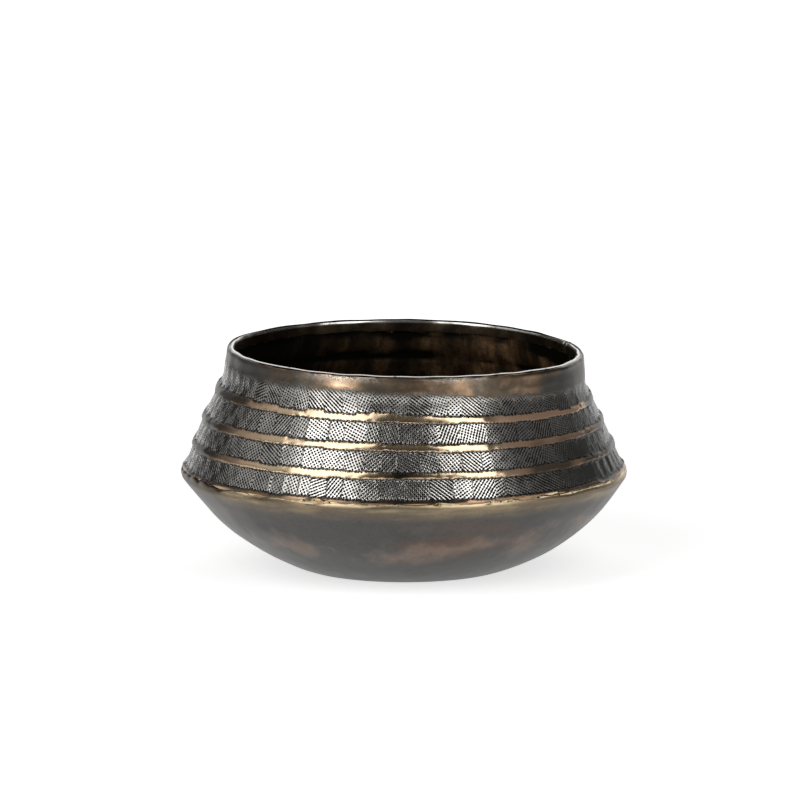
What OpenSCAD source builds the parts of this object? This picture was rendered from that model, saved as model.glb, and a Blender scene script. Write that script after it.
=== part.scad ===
// Hammered copper bowl: a raised pan, a rolled wall with hatched bands tucked into the pan's turned-up lip,
// a flat band inside the mouth, and the brass that brazes the pieces together.
// Millimetres. Z is the bowl's axis, and the origin is the centre of the flat that it stands on.

/* [Bowl] */
// Outside diameter at the shoulder, the widest place
body_d = 300; // [270:1:340]
// Height of the rim above the table
body_h = 148; // [130:1:180]
// Height of the pan's lip, which is the shoulder
shoulder_h = 66; // [55:1:75]
// Thickness of the copper sheet
sheet = 1.2; // [0.8:0.1:2]

/* [Pan] */
// Diameter of the flat that the bowl stands on
base_d = 140; // [100:1:170]
// How far the pan's side bulges below a straight line from the flat to the lip
pan_bulge = 9.5; // [6:0.5:14]
// Height of the upright lip round the pan's edge
lip_h = 4; // [3:0.5:8]

/* [Wall] */
// Outside diameter of the upright collar at the mouth
mouth_d = 241; // [210:1:260]
// Height of the upright collar
collar_h = 10; // [9:0.5:16]
// Half the height over which the sloping wall bends into the collar
neck_bend = 5; // [2:0.5:10]
// Height of the plain stretch between the shoulder's brass and the lowest hatched band
foot_h = 3; // [1:0.5:6]
// Height of a hatched band
hatch_h = 13.4; // [8:0.2:20]
// Height of the plain ridge between two hatched bands
ridge_h = 4.4; // [2:0.2:8]
// How far the hatched bands are hammered back from the ridges
hatch_depth = 0.5; // [0.2:0.1:1]
// Height of the step from a ridge into a band
step_h = 0.6; // [0.3:0.1:1]
// Width of the brazed gap where the rolled wall's ends meet
seam_gap = 3; // [0.6:0.1:4]
// Direction of the seams in the wall and in the rim band, counted from +X
seam_angle = 21; // [0:1:90]

/* [Rim band] */
// Thickness of the band inside the mouth
band_t = 3.4; // [2:0.1:5]
// Height of the band inside the mouth
band_h = 8; // [4:0.5:8.5]
// Rounding of the band's two upper edges
band_round = 1; // [0.4:0.1:1]
// Width of the gap where the band's ends meet
butt_gap = 3; // [0.8:0.1:4]

/* [Brazing] */
// Height of the brass fillet on the pan's lip
shoulder_fillet = 1.6; // [1:0.1:4]
// Height of the brass fillet under the band inside the mouth, if the collar has room for it
rim_fillet = 1.8; // [1:0.1:3]

/* [Hidden] */
$fn = 180;
copper = [0.26, 0.21, 0.17];
dark_copper = [0.2, 0.18, 0.16];
brass = [0.78, 0.62, 0.36];
arc_steps = 24;          // flats along the pan's curved side
round_steps = 4;         // flats along a rounded edge
band_samples = 5;        // flats down each hatched band
slab = body_d + body_h;  // larger than anything that a seam slab cuts

body_r = body_d / 2;
mouth_r = mouth_d / 2;
base_r = base_d / 2;
wall_foot_r = body_r - sheet;  // the wall's outer face where it leaves the lip

// The pan's side is an arc from the flat's edge to the foot of the lip.
lip_foot_h = shoulder_h - lip_h;
chord = [body_r - base_r, lip_foot_h];
chord_length = norm(chord);
pan_r = (pow(chord_length / 2, 2) + pow(pan_bulge, 2)) / (2 * pan_bulge);
bulge_way = [chord.y, -chord.x] / chord_length;
pan_centre = [base_r, 0] + chord / 2 - bulge_way * (pan_r - pan_bulge);

// The wall's foot is upright as far as the brass reaches. Then it is a cone that bends into the upright collar.
collar_z = body_h - collar_h;
bend_z = collar_z - 2 * neck_bend;
foot_z = shoulder_h + shoulder_fillet;
slope = (wall_foot_r - mouth_r) / (collar_z - neck_bend - foot_z);
hatch_z = foot_z + foot_h;
pitch = hatch_h + ridge_h;
bands = floor((collar_z - hatch_z + ridge_h) / pitch);

// The skirt stands on the corner inside the pan's lip.
skirt_z = arc_z(wall_foot_r, pan_r - sheet);
collar_inner_r = mouth_r - sheet;
band_z = body_h - band_h;
rim_fillet_h = min(rim_fillet, collar_h - band_h);
band_inner_r = collar_inner_r - band_t;

// A point on an arc about the pan's centre, where 0 degrees is straight down.
function pan_arc(r, a) = pan_centre + r * [sin(a), -cos(a)];
// Height at which that arc reaches the distance x from the bowl's axis.
function arc_z(x, r) = pan_centre.y - sqrt(r * r - pow(x - pan_centre.x, 2));
// Distance from the axis to the wall's outer face before it is hammered.
function wall_r(z) = z >= collar_z ? mouth_r
    : z >= bend_z ? mouth_r + slope * pow(collar_z - z, 2) / (4 * neck_bend)
    : wall_foot_r - slope * (z - foot_z);
// How steeply that face leans in.
function wall_slope(z) = z >= collar_z || z <= foot_z ? 0
    : z >= bend_z ? slope * (collar_z - z) / (2 * neck_bend)
    : slope;
// The sheet's thickness measured level, so that it is even square to the wall.
function level_sheet(z) = sheet * sqrt(1 + pow(wall_slope(z), 2));
// Heights and hammered depths that describe one hatched band, from its foot upwards.
function band_points(foot) = concat(
    [[foot, 0]],
    [for (i = [0:band_samples]) [foot + step_h + (hatch_h - 2 * step_h) * i / band_samples, hatch_depth]],
    [[foot + hatch_h, 0]]);

// Both faces of the wall as one closed outline. A shallow copy of each band shows on the inside.
module wall_outline() {
    ups = concat(
        [[foot_z, 0]],
        [for (i = [0:bands - 1], p = band_points(hatch_z + i * pitch)) p],
        [for (i = [1:round_steps]) let (z = bend_z + 2 * neck_bend * i / round_steps)
            if (z > hatch_z + bands * pitch - ridge_h) [z, 0]]);
    outer = [for (p = ups) [wall_r(p.x) - p.y, p.x]];
    inner = [for (p = ups) [wall_r(p.x) - p.y - level_sheet(p.x), p.x]];
    polygon(concat(
        [[wall_foot_r - sheet, skirt_z], [wall_foot_r, skirt_z]],
        outer,
        [[mouth_r, body_h - sheet / 3], [mouth_r - sheet / 3, body_h], [collar_inner_r, body_h]],
        [for (i = [len(inner) - 1:-1:0]) inner[i]]));
}

module pan_outline() {
    out_start = asin((base_r - pan_centre.x) / pan_r);
    out_end = asin((body_r - pan_centre.x) / pan_r);
    in_r = pan_r - sheet;
    in_start = acos((pan_centre.y - sheet) / in_r);
    in_end = asin((wall_foot_r - pan_centre.x) / in_r);
    polygon(concat(
        [[0, 0]],
        [for (i = [0:arc_steps]) pan_arc(pan_r, out_start + (out_end - out_start) * i / arc_steps)],
        [[body_r, shoulder_h], [wall_foot_r, shoulder_h]],
        [for (i = [arc_steps:-1:0]) pan_arc(in_r, in_start + (in_end - in_start) * i / arc_steps)],
        [[0, sheet]]));
}

module rim_band_outline() {
    polygon(concat(
        [[band_inner_r, band_z], [collar_inner_r, band_z]],
        [for (i = [0:round_steps]) let (a = 90 * i / round_steps)
            [collar_inner_r - band_round, body_h - band_round] + band_round * [cos(a), sin(a)]],
        [for (i = [0:round_steps]) let (a = 90 + 90 * i / round_steps)
            [band_inner_r + band_round, body_h - band_round] + band_round * [cos(a), sin(a)]]));
}

// A slab of the given width, square to the wall, through the side where the seams are.
module seam_slab(width) {
    rotate([0, 0, seam_angle]) translate([0, -width / 2, -slab / 2]) cube([slab, width, 2 * slab]);
}

module base_pan() {
    color(dark_copper) rotate_extrude() pan_outline();
}

module body_wall() {
    color(copper) difference() {
        rotate_extrude() wall_outline();
        seam_slab(seam_gap);
    }
}

module wall_seam_braze() {
    color(brass) intersection() {
        rotate_extrude() wall_outline();
        seam_slab(seam_gap);
    }
}

module rim_band() {
    color(copper) difference() {
        rotate_extrude() rim_band_outline();
        seam_slab(butt_gap);
    }
}

module rim_butt_braze() {
    color(brass) intersection() {
        rotate_extrude() rim_band_outline();
        seam_slab(butt_gap);
    }
}

// The fillet fills the corner between the lip's top edge and the upright foot of the wall.
module shoulder_braze() {
    color(brass) rotate_extrude() polygon([
        [wall_foot_r, shoulder_h],
        [body_r, shoulder_h],
        [wall_foot_r + sheet / 4, shoulder_h + shoulder_fillet / 3],
        [wall_foot_r, foot_z]]);
}

// The fillet fills the corner under the band inside the mouth.
module rim_braze() {
    color(brass) rotate_extrude() polygon([
        [collar_inner_r, band_z],
        [collar_inner_r - rim_fillet_h, band_z],
        [collar_inner_r - rim_fillet_h / 3, band_z - rim_fillet_h / 3],
        [collar_inner_r, band_z - rim_fillet_h]]);
}

base_pan();
body_wall();
rim_band();
shoulder_braze();
rim_braze();
wall_seam_braze();
rim_butt_braze();
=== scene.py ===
"""Hammered copper bowl: the finished surfaces of a raised pan, a rolled and hatched wall, a rim band and
the brass that joins them, built round the bowl's construction model."""

import math

import bpy
import numpy as np
from bpy.props import FloatProperty, FloatVectorProperty, IntProperty, PointerProperty
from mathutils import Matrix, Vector


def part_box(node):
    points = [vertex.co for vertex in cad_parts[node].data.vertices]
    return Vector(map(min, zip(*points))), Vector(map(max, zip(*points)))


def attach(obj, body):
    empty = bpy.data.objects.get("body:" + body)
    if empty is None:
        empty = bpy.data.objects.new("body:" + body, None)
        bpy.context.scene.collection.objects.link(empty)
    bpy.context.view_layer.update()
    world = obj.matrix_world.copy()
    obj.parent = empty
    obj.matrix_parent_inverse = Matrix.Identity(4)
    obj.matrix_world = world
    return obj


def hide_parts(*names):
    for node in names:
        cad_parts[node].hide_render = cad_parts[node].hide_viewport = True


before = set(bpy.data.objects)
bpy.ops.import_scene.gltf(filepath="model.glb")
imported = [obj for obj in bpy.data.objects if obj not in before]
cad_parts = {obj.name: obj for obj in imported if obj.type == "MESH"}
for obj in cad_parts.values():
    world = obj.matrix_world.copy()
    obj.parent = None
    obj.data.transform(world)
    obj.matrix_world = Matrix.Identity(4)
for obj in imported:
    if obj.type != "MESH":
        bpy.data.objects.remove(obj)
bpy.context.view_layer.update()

bl_info = {
    "name": "Hammered Copper Bowl",
    "version": (1, 0, 0),
    "blender": (4, 5, 0),
    "location": "View3D > Sidebar > Bowl",
    "description": "Builds a hammered copper bowl with hatched bands, piece by piece",
    "category": "Add Mesh",
}

PAN_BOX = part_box("base_pan")
WALL_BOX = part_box("body_wall")
BAND_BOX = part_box("rim_band")
BEAD_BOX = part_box("shoulder_braze")
FILLET_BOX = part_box("rim_braze")
JOINT_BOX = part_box("rim_butt_braze")

FULL_TURN = 2 * math.pi
FRONT = -math.pi / 2          # direction of the bowl's front, counted from +X
MM = 0.001
CREASE = math.radians(24.5)     # where the wall is folded a little, from the front to the right


# ---------------------------------------------------------------------------------------------------------
# What a user would change
# ---------------------------------------------------------------------------------------------------------

def length(name, default, description):
    return FloatProperty(name=name, default=default, description=description, unit="LENGTH", precision=5)


def colour(name, default, description):
    return FloatVectorProperty(name=name, default=default, description=description, subtype="COLOR",
                               size=3, min=0.0, max=1.0)


def brightness(name, default, description):
    return FloatProperty(name=name, default=default, description=description, min=0)


class BowlSizes(bpy.types.PropertyGroup):
    """Sizes of the bowl. Those of the construction model are read from it."""

    shoulder_radius: length("Shoulder radius", PAN_BOX[1].x, "Outside radius of the pan's lip")
    shoulder_height: length("Shoulder height", PAN_BOX[1].z, "Height of the pan's lip")
    rim_height: length("Rim height", WALL_BOX[1].z, "Height of the mouth's rim")
    skirt_height: length("Skirt height", WALL_BOX[0].z, "Height of the wall's lower edge, inside the pan")
    collar_radius: length("Collar radius", BAND_BOX[1].x, "Inside radius of the upright collar")
    sheet: length("Sheet", PAN_BOX[1].x - WALL_BOX[1].x, "Thickness of the copper sheet")
    bead_height: length("Bead height", BEAD_BOX[1].z, "Height that the brass on the pan's lip reaches")
    band_foot: length("Band foot", BAND_BOX[0].z, "Height of the rim band's lower edge")
    fillet_foot: length("Fillet foot", FILLET_BOX[0].z, "Height of the brass's foot under the rim band")
    seam_angle: FloatProperty(name="Seam", default=math.atan2(JOINT_BOX[0].y + JOINT_BOX[1].y,
                              JOINT_BOX[0].x + JOINT_BOX[1].x), subtype="ANGLE",
                              description="Direction of the seams, counted from +X")
    seam_width: length("Seam width", 3 * MM, "Width of the brazed gaps in the wall and in the rim band")
    base_radius: length("Base radius", 70 * MM, "Radius of the flat that the bowl stands on")
    pan_bulge: length("Pan bulge", 9.5 * MM, "How far the pan's side bulges past a straight line")
    lip_height: length("Lip height", 4 * MM, "Height of the upright lip round the pan")
    collar_height: length("Collar height", 10 * MM, "Height of the upright collar")
    neck_bend: length("Neck bend", 5 * MM, "Half the height over which the wall bends into the collar")
    band_thickness: length("Band thickness", 3.4 * MM, "Thickness of the rim band")
    foot_height: length("Foot height", 1.9 * MM, "Plain wall between the brass and the lowest hatched band")
    hatch_height: length("Hatch height", 13.1 * MM, "Height of a hatched band")
    ridge_height: length("Ridge height", 5.1 * MM, "Height of the smooth ridge between two bands")
    hatch_depth: length("Hatch depth", 0.65 * MM, "How far a punch drives the band back")
    punch_width: length("Punch width", 14.0 * MM, "Usual width that one blow of the punch covers")
    hatch_pitch: length("Hatch pitch", 2.0 * MM, "Distance between two lines of the hatching")
    rim_tilt: FloatProperty(name="Rim tilt", default=0.012, description="Slope of the rim, higher at -X")
    seed: IntProperty(name="Seed", default=11, description="Another seed is another hammering", min=0)


class BowlColours(bpy.types.PropertyGroup):
    """Colours of the metal, as it reflects."""

    patina: colour("Patina", (0.085, 0.078, 0.066), "Brown patina of the plain copper")
    # Soot also serves as painted shade in corners and slits.
    soot_and_shade: colour("Soot", (0.005, 0.0045, 0.004), "Black that fills pits and corners")
    bronze: colour("Bronze", (0.36, 0.235, 0.145), "Metal that is rubbed a little")
    # Also the colour of the painted highlights on the collar and the upper edge.
    worn_and_lit: colour("Worn brass", (0.78, 0.60, 0.40), "Bright metal on the rubbed ridges")
    pewter: colour("Pewter", (0.78, 0.76, 0.72), "Rubbed lines of the hatching")
    gold: colour("Gold", (0.70, 0.56, 0.36), "Brass of the joints")
    gunmetal: colour("Gunmetal", (0.095, 0.094, 0.091), "Grey patina of the pan")
    blush: colour("Blush", (0.155, 0.098, 0.074), "Red-brown clouds of bare copper")
    inside: colour("Inside", (0.007, 0.006, 0.005), "Smoked inside of the bowl")


# Shades that age, wear, painted light and painted shade mix into those colours.
UMBER = (0.15, 0.11, 0.075)              # clouds in the wall's patina
ASH = (0.15, 0.148, 0.145)               # plain metal at the wall's two sides
DUSTY = (0.55, 0.52, 0.47)               # rubbed lines with dirt on them
FLATTENED = (0.055, 0.055, 0.05)         # hatching that is rubbed nearly flat
RIDGE_DULL_SHADE_BRONZE = (0.45, 0.29, 0.195)        # ridges painted dull where they lie in shade
RIDGE_SHADE_BROWN = (0.10, 0.08, 0.058)          # ridges painted dark where they lie in shade
BEND_SHADE = (0.05, 0.049, 0.047)              # painted shade in the bend under the collar
FLAKE_HIGHLIGHT = (0.50, 0.42, 0.35)               # flaked metal near the rim, painted pale as a highlight
LIT_COPPER = (0.34, 0.20, 0.10)                # copper painted as light on the proud places of the inside
STEEL = (0.082, 0.078, 0.073)            # clouds in the pan's patina
TIDE = (0.27, 0.20, 0.155)               # tide marks on the pan
TAN, STRAW = (0.185, 0.145, 0.10), (0.33, 0.26, 0.16)     # streaks under the pan's lip
RIM_BROWN, RIM_CLOUD = (0.05, 0.038, 0.026), (0.13, 0.09, 0.055)
OLD_BRASS = (0.40, 0.28, 0.15)           # clouds in the brass of the joints


class BowlStudio(bpy.types.PropertyGroup):
    """The camera and the light."""

    distance: length("Distance", 10.0, "Distance from the camera to the bowl")
    view_width: length("View width", 0.539, "Width that the picture covers at the bowl")
    elevation: FloatProperty(name="Elevation", default=math.radians(9.8), subtype="ANGLE",
                             description="Height of the camera above the horizon")
    aside: length("Aside", -3.0 * MM, "How far the camera aims to the side of the bowl's axis")
    aim_height: length("Aim height", 112 * MM, "Height that the camera aims at")
    left_box: brightness("Left box", 2.25, "Brightness of the softbox at the left")
    right_box: brightness("Right box", 2.25, "Brightness of the softbox at the right")
    side_box: brightness("Side box", 0.42, "Brightness of the softbox beside the bowl")
    room: brightness("Room", 0.032, "Brightness of the studio's front")


# ---------------------------------------------------------------------------------------------------------
# Turning and hammering
# ---------------------------------------------------------------------------------------------------------

def smooth(low, high, value):
    """0 below low, 1 above high, and a soft step between them. With high below low the step goes down."""
    t = np.clip((value - low) / (high - low), 0, 1)
    return t * t * (3 - 2 * t)


def window(value, start, full, fade, end):
    """1 from full to fade, with a soft step up before and a soft step down after."""
    return smooth(start, full, value) * smooth(end, fade, value)


def bump(value, middle, width):
    """A round hump, 1 high at the middle."""
    return np.exp(-((value - middle) / width) ** 2)


def from_front(angle):
    """Angle from the bowl's front, positive to the right, from -pi to pi."""
    return (angle - FRONT + math.pi) % FULL_TURN - math.pi


def uneven(angle, height, size, seed, radius=0.13, count=14):
    """A smooth random swell about 1 high that closes on itself. Its bumps are about size metres across."""
    rng = np.random.default_rng(seed)
    total = np.zeros(np.broadcast(angle, height).shape)
    for _ in range(count):
        way = rng.uniform(0, FULL_TURN)
        tight = FULL_TURN / size * rng.uniform(0.6, 1.4)
        around = round(tight * math.cos(way) * radius)
        total += np.cos(around * angle + tight * math.sin(way) * height + rng.uniform(0, FULL_TURN))
    return total / math.sqrt(count / 2)


def uneven_ring(angles, size, seed):
    """The same kind of swell along a ring only, as a column with one value for each angle."""
    return uneven(angles[:, None], 0.0, size, seed)


def grid(outline, angles):
    """Radius and height of every outline point, repeated for every ring."""
    return (np.tile([point[k] for point in outline], (len(angles), 1)) for k in (0, 1))


def lathe(name, outline, steps, sweep=FULL_TURN, start=0.0, closed=True):
    """Draws an outline of (radius, height) points and turns it round the bowl's axis. Returns the piece,
    each ring's angle, and which outline point each point of a ring is."""
    bpy.ops.object.select_all(action="DESELECT")
    bpy.ops.mesh.primitive_plane_add(size=outline[0][0] + MM)
    piece = bpy.context.object
    piece.name = piece.data.name = name
    points = [Vector((r * math.cos(start), r * math.sin(start), z)) for r, z in outline]
    if closed:
        points.append(points[0])
    bpy.ops.object.mode_set(mode="EDIT")
    bpy.ops.mesh.merge(type="CENTER")
    bpy.ops.transform.translate(value=points[0])
    for near, far in zip(points, points[1:]):
        bpy.ops.mesh.extrude_region_move(TRANSFORM_OT_translate={"value": far - near})
    bpy.ops.mesh.select_all(action="SELECT")
    bpy.ops.mesh.remove_doubles(threshold=1e-6)
    bpy.ops.object.mode_set(mode="OBJECT")
    ring = np.array([v.co for v in piece.data.vertices])
    known = np.array([(math.hypot(p.x, p.y), p.z) for p in points[:len(outline)]])
    ring = np.stack([np.hypot(ring[:, 0], ring[:, 1]), ring[:, 2]], 1)
    order = np.argmin(((ring[:, None] - known[None]) ** 2).sum(2), 1)
    turn = piece.modifiers.new("lathe", "SCREW")
    turn.angle = sweep
    turn.steps = turn.render_steps = steps
    bpy.ops.object.modifier_apply(modifier=turn.name)
    rings = len(piece.data.vertices) // len(order)
    angles = start + sweep * np.arange(rings) / steps
    return piece, angles, order


def read(items, key, kind=np.int32):
    """One property of all items, as an array."""
    values = np.zeros(len(items), kind)
    items.foreach_get(key, values)
    return values


def shape(s, piece, angles, order, radius, height):
    """Moves the points of a turned piece to where they stand in the finished bowl, and returns the new
    heights. radius and height hold a row for each ring and a place for each outline point."""
    radius, height = settle(s, angles, radius, height)
    r, z = radius[:, order], height[:, order]
    places = np.stack([r * np.cos(angles)[:, None], r * np.sin(angles)[:, None], z], 2)
    piece.data.vertices.foreach_set("co", places.reshape(-1).astype(np.float32))
    piece.data.update()
    return height


def note(piece, name, order, values):
    """Keeps a value from 0 to 1 for each point of a turned piece, for its material to read."""
    kept = piece.data.attributes.new(name, "FLOAT", "POINT")
    values = np.broadcast_to(values, (values.shape[0], len(order)))[:, order]
    kept.data.foreach_set("value", values.reshape(-1).astype(np.float32))


def close_up(piece, sharp=40):
    """Closes seams, poles and ends, turns the faces outwards and shades the piece smooth."""
    bpy.ops.object.select_all(action="DESELECT")
    piece.select_set(True)
    bpy.context.view_layer.objects.active = piece
    bpy.ops.object.mode_set(mode="EDIT")
    bpy.ops.mesh.select_all(action="SELECT")
    bpy.ops.mesh.remove_doubles(threshold=1e-6)
    bpy.ops.mesh.select_all(action="SELECT")
    bpy.ops.mesh.fill_holes(sides=0)
    bpy.ops.mesh.select_all(action="SELECT")
    bpy.ops.mesh.normals_make_consistent(inside=False)
    bpy.ops.object.mode_set(mode="OBJECT")
    bpy.ops.object.shade_smooth_by_angle(angle=math.radians(sharp))


def line_inside(piece):
    """Gives the piece's second finish to the faces that lie wholly on the inside."""
    mesh = piece.data
    inside = read(mesh.attributes["inside"].data, "value", np.float32)[read(mesh.loops, "vertex_index")]
    lined = np.minimum.reduceat(inside, read(mesh.polygons, "loop_start")) > 0.5
    mesh.polygons.foreach_set("material_index", lined.astype(np.int32))
    mesh.update()


def place(piece, node, slot, *materials):
    """Gives the piece its finish and lets it stand for its node of the construction model."""
    for material in materials:
        piece.data.materials.append(material)
    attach(piece, "root")
    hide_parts(node)


def settle(s, angles, radius, height):
    """What the making and years of use do to every piece alike: no storey stands quite over the one below,
    the mouth is a little out of round and its rim sinks to the right."""
    turn = angles[:, None]
    up = height / s.rim_height
    oval = 0.3 * MM * np.cos(2 * (turn - 0.6)) + 0.2 * MM * np.cos(3 * (turn + 1.1))
    tuck = 1.8 * bump(up, 0.66, 0.16) - 0.8 * bump(up, 0.30, 0.09)
    tuck = tuck - bump(up, 0.11, 0.09) - 0.7 * smooth(0.88, 0.96, up)
    sway = 0.9 * bump(up, 0.30, 0.10) - 1.7 * bump(up, 0.66, 0.18)
    sway = sway + bump(up, 0.11, 0.09) + 0.8 * smooth(0.86, 0.96, up)
    off_axis = smooth(0, 0.2, radius / s.shoulder_radius)
    radius = radius + (oval * up + (tuck + sway * np.cos(turn)) * MM) * off_axis
    side = np.cos(turn) * radius
    lean = smooth(s.shoulder_height + 30 * MM, s.rim_height, height)
    sink = s.rim_tilt * side + 2.6 * MM * np.clip(side / s.collar_radius, 0, 1) ** 3
    return radius, height - sink * lean


def lip_edge(s, angles):
    """How far the pan's lip rises above its even height: uneven all round, and lifted at the left."""
    ragged = 0.22 * MM * uneven_ring(angles, 0.035, s.seed + 2)
    where = bump(from_front(angles[:, None]), math.radians(-70), math.radians(16))
    lifted = 2.1 * MM * where * (1 + 0.5 * uneven_ring(angles, 0.014, s.seed + 3))
    return ragged, lifted


class WallForm:
    """The wall before it is hammered, the same as in the construction model."""

    def __init__(self, s):
        self.foot_radius = s.shoulder_radius - s.sheet
        self.mouth_radius = s.collar_radius + s.sheet
        self.collar = s.rim_height - s.collar_height
        self.bend = self.collar - 2 * s.neck_bend
        self.foot = s.bead_height
        self.neck = s.neck_bend
        self.slope = (self.foot_radius - self.mouth_radius) / (self.collar - s.neck_bend - self.foot)
        self.sheet = s.sheet
        self.hollow = 0.9 * MM   # the leaning side is a little hollow

    def radius(self, z):
        cone = self.foot_radius - self.slope * (z - self.foot)
        bend = self.mouth_radius + self.slope * (self.collar - z) ** 2 / (4 * self.neck)
        r = np.where(z >= self.collar, self.mouth_radius, np.where(z >= self.bend, bend, cone))
        up = np.clip((z - self.foot) / (self.collar - self.foot), 0, 1)
        hollow = self.hollow * np.sin(math.pi * up ** 0.6)
        return np.where(z <= self.foot, self.foot_radius, r) - hollow

    def outer(self, z):
        """The outside, whose collar leans in a little."""
        top = self.collar + 10.5 * MM
        return self.radius(z) + 1.3 * MM * np.clip((top - z) / (11 * MM), 0, 1) * smooth(
            self.collar - 14 * MM, self.collar - 2 * MM, z)

    def inner(self, z):
        lean = np.where((z >= self.collar) | (z <= self.foot), 0, self.slope)
        return self.radius(z) - self.sheet * np.sqrt(1 + lean ** 2)


class Hatching:
    """Where each blow of the hatched punch fell. The bands stand in nominal heights, which sink a little
    towards the bowl's right side."""

    def __init__(self, s, angles):
        self.height, self.pitch = s.hatch_height, s.hatch_height + s.ridge_height
        self.foot = s.bead_height + s.foot_height
        self.top = s.rim_height - s.collar_height
        self.bands = round((self.top - self.foot + s.ridge_height) / self.pitch)
        rng = np.random.default_rng(s.seed)
        self.edges, self.rows = [], []
        mean_radius = 0.135
        mean = s.punch_width / (mean_radius * (angles[1] - angles[0]))
        fold = int(np.argmin(np.abs(from_front(angles) - CREASE)))
        for k in range(self.bands):
            cuts = [0]
            while cuts[-1] < len(angles) - 1.6 * mean:
                cuts.append(cuts[-1] + max(2, int(round(mean * rng.uniform(0.72, 1.22)))))
            cuts.append(len(angles) - 1)
            cuts[int(np.argmin(np.abs(np.array(cuts) - fold)))] = fold
            self.edges.append(np.array(cuts))
            count = len(cuts) - 1
            leans = [-62, -45, -32, 28, 45, 58]
            self.rows.append({
                "turn": np.radians(rng.choice(leans, count) + rng.uniform(-9, 9, count)),
                "lift": rng.uniform(-0.4, 0.4, count) * MM,
                "deep": s.hatch_depth * rng.uniform(0.88, 1.12, count),
                "tilt": rng.uniform(-1, 1, count) * 0.05 * MM,
                "lap": rng.uniform(0.5, 1.5, count) * MM,
                "tall": rng.uniform(-0.35, 0.35, count) * MM * (3 if k == self.bands - 1 else 1),
                "force": rng.uniform(0.75, 1.0, count),
            })

    def sink(self, angle):
        """How far the top line has sunk at an angle. It is most at the right side."""
        a = np.degrees(from_front(angle))
        return 3.2 * MM * (1 + np.tanh((a - 20) / 25)) * smooth(178, 110, np.abs(a))

    def nominal(self, angle, z):
        return self.foot + (z - self.foot) / (1 - self.sink(angle) / (self.top - self.foot))

    def blow(self, column, angle, z):
        """For each place: its band, and where it lies in the mark of the nearest blow."""
        level = self.nominal(angle, z)
        band = np.floor((level - self.foot + (self.pitch - self.height) / 2) / self.pitch)
        band = np.clip(band, 0, self.bands - 1).astype(int)
        found = {key: np.zeros(band.shape) for key in (*self.rows[0], "middle", "half")}
        for k in range(self.bands):
            here = band == k
            edges = self.edges[k]
            mark = np.clip(np.searchsorted(edges, column[here], side="right") - 1, 0, len(edges) - 2)
            for key, row in self.rows[k].items():
                found[key][here] = row[mark]
            found["middle"][here] = (edges[mark] + edges[mark + 1]) / 2
            found["half"][here] = (edges[mark + 1] - edges[mark]) / 2
        found["up"] = level - (self.foot + band * self.pitch + self.height / 2) - found["lift"]
        found["half_up"] = self.height / 2 + found["tall"]
        return found


def outside_of(x, y, half_x, half_y, corner):
    """Distance to the edge of a rectangle with round corners, negative inside it."""
    qx, qy = np.abs(x) - half_x + corner, np.abs(y) - half_y + corner
    return np.hypot(np.maximum(qx, 0), np.maximum(qy, 0)) + np.minimum(np.maximum(qx, qy), 0) - corner


# ---------------------------------------------------------------------------------------------------------
# Finishes
# ---------------------------------------------------------------------------------------------------------

def feed(tree, socket, value):
    """Links a socket from another one, or sets it to a plain number or colour."""
    if isinstance(value, bpy.types.NodeSocket):
        tree.links.new(value, socket)
    else:
        socket.default_value = value


def node(tree, kind, *values, settings=None, **named):
    """Adds a shader node. Values are sockets to link from or plain numbers, by place or by socket name."""
    made = tree.nodes.new("ShaderNode" + kind)
    for key, value in (settings or {}).items():
        setattr(made, key, value)
    given = list(enumerate(values)) + [(key.replace("_", " "), value) for key, value in named.items()]
    for key, value in given:
        if value is not None:
            feed(tree, made.inputs[key], value)
    return made


def calc(tree, operation, *values, clamp=False):
    return node(tree, "Math", *values, settings={"operation": operation, "use_clamp": clamp}).outputs[0]


def times(tree, first, second):
    return calc(tree, "MULTIPLY", first, second)


def line(tree, value, slope, start, clamp=False):
    """value times slope, plus start."""
    return calc(tree, "MULTIPLY_ADD", value, slope, start, clamp=clamp)


def less(tree, value, where, share=1.0):
    """A value that is taken down by a share where the mask is 1."""
    return times(tree, value, line(tree, where, -share, 1.0))


def ramp(tree, value, low, high):
    """A soft step from 0 at low to 1 at high."""
    return node(tree, "MapRange", Value=value, From_Min=low, From_Max=high,
                settings={"interpolation_type": "SMOOTHSTEP"}).outputs["Result"]


def between(tree, value, first, last):
    """Goes evenly from first to last as the value goes from 0 to 1."""
    return node(tree, "MapRange", Value=value, To_Min=first, To_Max=last).outputs["Result"]


def blend(tree, share, first, second):
    """Mixes two colours."""
    made = node(tree, "Mix", share, settings={"data_type": "RGBA"})
    for key, value in ((6, first), (7, second)):
        feed(tree, made.inputs[key], value if isinstance(value, bpy.types.NodeSocket) else (*value, 1.0))
    return made.outputs[2]


def noise(tree, where, scale, detail=3.0, roughness=0.55, distortion=0.0, stretch=None):
    if stretch:
        where = node(tree, "Mapping", where, Scale=stretch).outputs[0]
    return node(tree, "TexNoise", Vector=where, Scale=scale, Detail=detail, Roughness=roughness,
                Distortion=distortion).outputs["Fac"]


def attribute(tree, name, output="Fac"):
    return node(tree, "Attribute", settings={"attribute_name": name}).outputs[output]


def group(name, inputs, outputs):
    """An empty node group with its sockets. Each input is (name, type, default)."""
    tree = bpy.data.node_groups.new(name, "ShaderNodeTree")
    for label, kind, default in inputs:
        socket = tree.interface.new_socket(name=label, in_out="INPUT", socket_type="NodeSocket" + kind)
        if default is not None:
            socket.default_value = default
    for label, kind in outputs:
        tree.interface.new_socket(name=label, in_out="OUTPUT", socket_type="NodeSocket" + kind)
    source = tree.nodes.new("NodeGroupInput")
    sink = tree.nodes.new("NodeGroupOutput")
    return tree, source.outputs, sink.inputs


def use(tree, shared, **named):
    """Places a node group in a material."""
    return node(tree, "Group", settings={"node_tree": shared}, **named).outputs


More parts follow.
